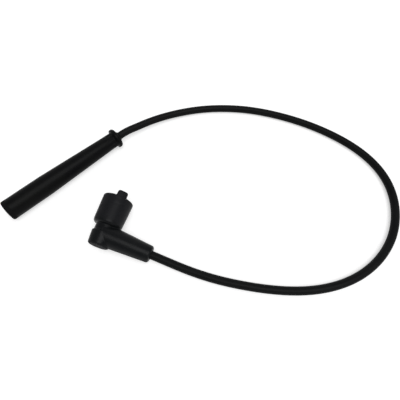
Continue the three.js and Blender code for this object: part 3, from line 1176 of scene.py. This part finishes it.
@dataclass
class Terminal:
    """What both terminals share: the slotted snap socket and the crimp."""

    sides: int = 72
    slot_width: float = 0.9
    slot_length: float = 9.0
    groove: tuple[float, float] = (3.75, 5.05)
    groove_depth: float = 0.25
    groove_slope: float = 0.3
    flare: float = 0.5
    seam: float = 1.4
    edge_round: float = 0.07

    def skin(self) -> Profile:
        """Gives the outer profile of the socket from its tip to its groove.

        Returns:
            Its points.
        """
        low, high = self.groove
        bottom = SNAP_R - self.groove_depth
        return [
            (0, SNAP_R + self.flare), (0.4, SNAP_R + self.flare * 0.62), (0.8, SNAP_R + self.flare * 0.2),
            (1.2, SNAP_R), (low, SNAP_R), (low + self.groove_slope, bottom), (high - self.groove_slope, bottom),
            (high, SNAP_R),
        ]

    def sheet(self, skin: Profile) -> Shape:
        """Turns a profile of constant sheet thickness."""
        inner = [(along, radius - SHEET) for along, radius in reversed(skin)]
        return spun(skin + inner, self.sides)

    def slotted(self, mesh: Mesh) -> Mesh:
        """Cuts the slots that let the socket spring open.

        Args:
            mesh: the socket.

        Returns:
            The cut mesh.
        """
        size, middle = (self.slot_length + 1, SNAP_R * 3, self.slot_width), ((self.slot_length - 1) / 2, 0, 0)
        for turn in (45, 135):
            slot = block(size, middle)
            tool = mesh_of(slot, "slot", Matrix.Rotation(math.radians(turn), 4, "X"))
            mesh = combined(mesh, tool, Join.CUT)
        return mesh

    def wings(self, mesh: Mesh, at: float, turn: Matrix) -> Mesh:
        """Cuts the seam and the notch that part a crimp's wings.

        Args:
            mesh: the terminal.
            at: the crimp's start along its axis.
            turn: turn of the cuts round that axis.

        Returns:
            The cut mesh.
        """
        wide = CRIMP_R * 3
        seam = block((CRIMP_LENGTH + 1, self.seam, wide), (at + (CRIMP_LENGTH + 1) / 2, 0, wide / 2))
        notch = block((1, wide, CRIMP_R * 2), (at + CRIMP_LENGTH / 2, 0, CRIMP_R * 0.75))
        for tool in (seam, notch):
            mesh = combined(mesh, mesh_of(tool, "cut", turn), Join.CUT)
        return mesh

    def finish(
        self, mesh: Mesh, place: Matrix, node: str, finish: Finish
    ) -> Piece:
        """Breaks the sheet's edges and puts the terminal in place.

        Args:
            mesh: the terminal in its own axes.
            place: where it goes.
            node: the CAD node that it replaces.
            finish: its material.

        Returns:
            The piece.
        """
        worked = show(mesh, node)
        edge = worked.modifiers.new("edge", "BEVEL")
        edge.width, edge.segments = self.edge_round * MM, 2
        edge.limit_method, edge.angle_limit = "ANGLE", math.radians(50)
        made = applied(worked)
        made.transform(place)
        return finished(made, node, finish, sharp_above=45)


@dataclass
class PlugTerminal(Terminal):
    """Straight terminal: socket, open window and crimp, rolled from one strip."""

    window: float = 4.2
    window_wall: float = 0.8    # what stays of the window's length, as a web at its ends

    def build(self, finish: Finish) -> Piece:
        """Makes the terminal.

        Args:
            finish: its metal.

        Returns:
            The piece.
        """
        end = CRIMP_AT + CRIMP_LENGTH
        skin = self.skin() + [
            (SNAP_LENGTH, SNAP_R), (SNAP_LENGTH + 1, SNAP_R + 0.12), (CRIMP_AT - 2, CRIMP_R - 0.12),
            (CRIMP_AT - 1, CRIMP_R), (end - 0.8, CRIMP_R), (end, CRIMP_R),
        ]
        mesh = self.slotted(mesh_of(self.sheet(skin), "plug_terminal"))
        middle = (SNAP_LENGTH + self.window / 2, 0, CRIMP_R)
        gap = block((self.window - self.window_wall, CRIMP_R * 3, CRIMP_R * 2), middle)
        mesh = combined(mesh, mesh_of(gap, "window"), Join.CUT)
        mesh = self.wings(mesh, CRIMP_AT, Matrix.Identity(4))
        place = Matrix.Translation((MOUTH + Vector((PLUG_TIP, 0, 0))) * MM)
        return self.finish(mesh, place, "plug_terminal", finish)


@dataclass
class CoilTerminal(Terminal):
    """Right-angle terminal: socket on the cap's axis, crimp on the arm's, a bent strap between."""

    elbow: Elbow = field(default_factory=Elbow)
    strap_width: float = 3.4
    strap_bend: float = 3.0
    strap_thick: float = 0.8    # share of the sheet's thickness
    bend_steps: int = 12

    def strap(self) -> Mesh:
        """Extrudes the strap from the crimp round the corner to the socket.

        Returns:
            The strap in the boot's own axes.
        """
        lean = math.radians(self.elbow.angle - 90)
        down = Vector((-math.sin(lean), -math.cos(lean), 0))
        away = Vector((-math.cos(lean), math.sin(lean), 0))
        side = SNAP_R - SHEET / 2
        under = math.sqrt(CRIMP_R**2 - (self.strap_width / 2) ** 2) - SHEET / 2
        start = down * (COIL_CRIMP_AT + 1) + away * under
        corner = start - down * ((side - start.y) / -down.y)
        into, out = corner + down * self.strap_bend, corner + Vector((self.strap_bend, 0, 0))
        line = [start]
        for i in range(self.bend_steps + 1):
            t = i / self.bend_steps
            line.append(into * (1 - t) ** 2 + corner * 2 * t * (1 - t) + out * t**2)
        line.append(Vector((COIL_TIP - SNAP_LENGTH + 1, side, 0)))
        shape = bmesh.new()
        half = self.strap_width / 2
        edge = [shape.verts.new((line[0].x * MM, line[0].y * MM, z * MM)) for z in (-half, half)]
        edges = [shape.edges.new(edge)]
        for before, after in zip(line, line[1:]):
            verts, edges = extruded(shape, edges)
            bmesh.ops.translate(shape, verts=verts, vec=(after - before) * MM)
        bmesh.ops.solidify(shape, geom=shape.faces[:], thickness=SHEET * self.strap_thick * MM)
        bmesh.ops.recalc_face_normals(shape, faces=shape.faces)
        return mesh_of(shape, "strap")

    def build(self, finish: Finish) -> Piece:
        """Makes the terminal.

        Args:
            finish: its metal.

        Returns:
            The piece.
        """
        socket = self.slotted(mesh_of(self.sheet(self.skin() + [(SNAP_LENGTH, SNAP_R)]), "coil_socket"))
        socket.transform(Matrix.Translation((COIL_TIP * MM, 0, 0)) @ Matrix.Rotation(math.pi, 4, "Z"))
        crimp = mesh_of(self.sheet([(0, CRIMP_R), (0.6, CRIMP_R), (CRIMP_LENGTH, CRIMP_R)]), "coil_crimp")
        crimp = self.wings(crimp, 0, Matrix.Rotation(math.radians(-90), 4, "X"))
        crimp.transform(self.elbow.arm_turn() @ Matrix.Translation((COIL_CRIMP_AT * MM, 0, 0)))
        mesh = combined(combined(socket, crimp, Join.UNION), self.strap(), Join.UNION)
        return self.finish(mesh, self.elbow.place(), "coil_terminal", finish)


@dataclass
class SpringRing:
    """Split ring of round wire in a socket's groove."""

    node: str
    place: Matrix
    ring_r: float = 4.15
    wire_r: float = 0.35
    gap: float = 30.0           # degrees left open
    end_round: float = 0.12

    def build(self, finish: Finish) -> Piece:
        """Spins the wire's section round the socket, and rounds its two ends.

        Args:
            finish: its metal.

        Returns:
            The piece.
        """
        shape = bmesh.new()
        start = Matrix.Rotation(math.radians(self.gap / 2), 4, "X")
        stand = Matrix.Translation((0, 0, self.ring_r * MM)) @ Matrix.Rotation(math.radians(90), 4, "X")
        bmesh.ops.create_circle(
            shape, cap_ends=True, segments=16, radius=self.wire_r * MM, matrix=start @ stand,
        )
        bmesh.ops.spin(
            shape, geom=shape.faces[:], cent=(0, 0, 0), axis=(1, 0, 0), angle=math.radians(360 - self.gap),
            steps=64,
        )
        bmesh.ops.recalc_face_normals(shape, faces=shape.faces)
        ends = [e for f in shape.faces if len(f.verts) > 4 for e in f.edges]
        rounded(shape, ends, self.end_round, 3)
        mesh = mesh_of(shape, f"{self.node}_dressed", self.place)
        return finished(mesh, self.node, finish, sharp_above=60)


@dataclass(frozen=True)
class WideLight:
    """A large, even light over the lead."""

    name: str
    power: float
    width: float
    comes_from: tuple[float, float, float]

    def hang(self) -> None:
        """Adds the light to the scene."""
        data = bpy.data.lights.new(self.name, "SUN")
        data.energy, data.angle = self.power, math.radians(self.width)
        lamp = bpy.data.objects.new(self.name, data)
        lamp.rotation_euler = Vector(self.comes_from).to_track_quat("Z", "Y").to_euler()
        bpy.context.scene.collection.objects.link(lamp)


@dataclass
class Studio:
    """Pale floor, white surroundings and plain soft light."""

    lights: tuple[WideLight, ...] = (
        WideLight("wide_light", 2.1, 46, (0.0, -0.36, 0.93)),
        WideLight("back_light", 0.4, 60, (0.45, 0.70, 0.56)),
    )
    fill: float = 0.3
    backdrop: tuple[float, float] = (0.17, 0.42)  # sine of the heights at which the white backdrop fades out
    floor_half: float = 6.0     # metres
    floor_albedo: float = 0.6
    floor_lift: float = 0.52

    @staticmethod
    def _seen(board: Board, mirrored: Socket | None = None) -> Socket:
        """Gives 1 for camera rays, and for glossy and transmission rays inside a mask.

        Args:
            board: the board to work on.
            mirrored: where the two other kinds of ray count; everywhere if left out.

        Returns:
            The mask as a socket.
        """
        path = board.node("ShaderNodeLightPath")
        other = board.math("MAXIMUM", path.outputs["Is Glossy Ray"], path.outputs["Is Transmission Ray"])
        if mirrored is not None:
            other = board.math("MULTIPLY", other, mirrored)
        return board.math("MAXIMUM", path.outputs["Is Camera Ray"], other)

    def floor(self) -> Piece:
        """Makes the floor: a pale matt sheet, lifted to white where it is seen.

        Returns:
            The floor.
        """
        shape = bmesh.new()
        bmesh.ops.create_grid(shape, x_segments=2, y_segments=2, size=self.floor_half)
        piece = show(mesh_of(shape, "studio_floor"), "studio_floor")
        material, board, shader = fresh_material("studio_floor")
        shader.inputs["Base Color"].default_value = (self.floor_albedo,) * 3 + (1,)
        shader.inputs["Roughness"].default_value = 0.9
        shader.inputs["Specular IOR Level"].default_value = 0.0
        lift = board.math("MULTIPLY", self._seen(board), self.floor_lift)
        board.link(lift, shader.inputs["Emission Strength"])
        shader.inputs["Emission Color"].default_value = (1, 1, 1, 1)
        piece.data.materials.append(material)
        return piece

    def world(self) -> None:
        """Surrounds the scene: white to the camera, and near the horizon to metal; an even fill otherwise."""
        world = bpy.data.worlds.new("studio")
        world.use_nodes = True
        board = Board(world.node_tree)
        back = world.node_tree.nodes["Background"]
        split = board.node("ShaderNodeSeparateXYZ")
        board.link(board.node("ShaderNodeTexCoord").outputs["Generated"], split.inputs["Vector"])
        backdrop = board.span(split.outputs["Z"], *self.backdrop, 1, 0)
        board.link(board.span(self._seen(board, backdrop), 0, 1, self.fill, 1), back.inputs["Strength"])
        back.inputs["Color"].default_value = (1, 1, 1, 1)
        bpy.context.scene.world = world

    def build(self) -> None:
        """Builds the studio."""
        self.floor()
        for light in self.lights:
            light.hang()
        self.world()
        bpy.context.scene.view_settings.view_transform = "Standard"


def main() -> None:
    """Builds every piece of the dressed lead in order."""
    logging.basicConfig(level=logging.INFO, format="%(message)s")
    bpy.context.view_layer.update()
    PictureCamera().build()
    effects = EffectGroups()
    elbow = Elbow()
    for piece in Cable(elbow).build(ExtrudedJacket("cable_jacket_black").material(effects)):
        LOG.info("made %s", piece.name)
    place = elbow.place()
    crossing, towards_cap = place.translation, place.col[0].to_3d().normalized()
    plug_rubber = MouldedRubber(
        "plug_boot_rubber",
        zones=(MattZone.along(MOUTH * MM, Vector((-1, 0, 0)), start=-4.4, full=-3.8, roughness=0.8),),
    )
    coil_rubber = MouldedRubber(
        "coil_boot_rubber", dark=(0.0042, 0.0047, 0.0056), light=(0.0068, 0.0076, 0.0080),
        matt=(0.0086, 0.0088, 0.0104), roughness=(0.28, 0.38), specular=0.09, haze_scale=80,
        zones=(
            MattZone.along(crossing, towards_cap, start=9.5, full=12, roughness=0.5),
            MattZone.along(crossing, -towards_cap, start=9.2, full=10, roughness=0.88),
        ),
    )
    steel = PlatedSteel("terminal_plating").material(effects)
    wire = PlatedSteel("spring_wire", bright=(0.5, 0.5, 0.49), dull=(0.3, 0.29, 0.28)).material(effects)
    plug_ring = Matrix.Translation((MOUTH + Vector((PLUG_TIP + RING_AT, 0, 0))) * MM)
    coil_ring = place @ Matrix.Translation(((COIL_TIP - RING_AT) * MM, 0, 0))
    pieces = [
        PlugBoot().build(plug_rubber.material(effects)),
        CoilBoot(elbow).build(coil_rubber.material(effects)),
        PlugTerminal().build(steel),
        CoilTerminal(elbow=elbow).build(steel),
        SpringRing("plug_terminal_spring", plug_ring).build(wire),
        SpringRing("coil_terminal_spring", coil_ring).build(wire),
    ]
    for piece in pieces:
        LOG.info("made %s, %d faces", piece.name, len(piece.data.polygons))
    Studio().build()
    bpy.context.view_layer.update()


if __name__ == "__main__":
    main()
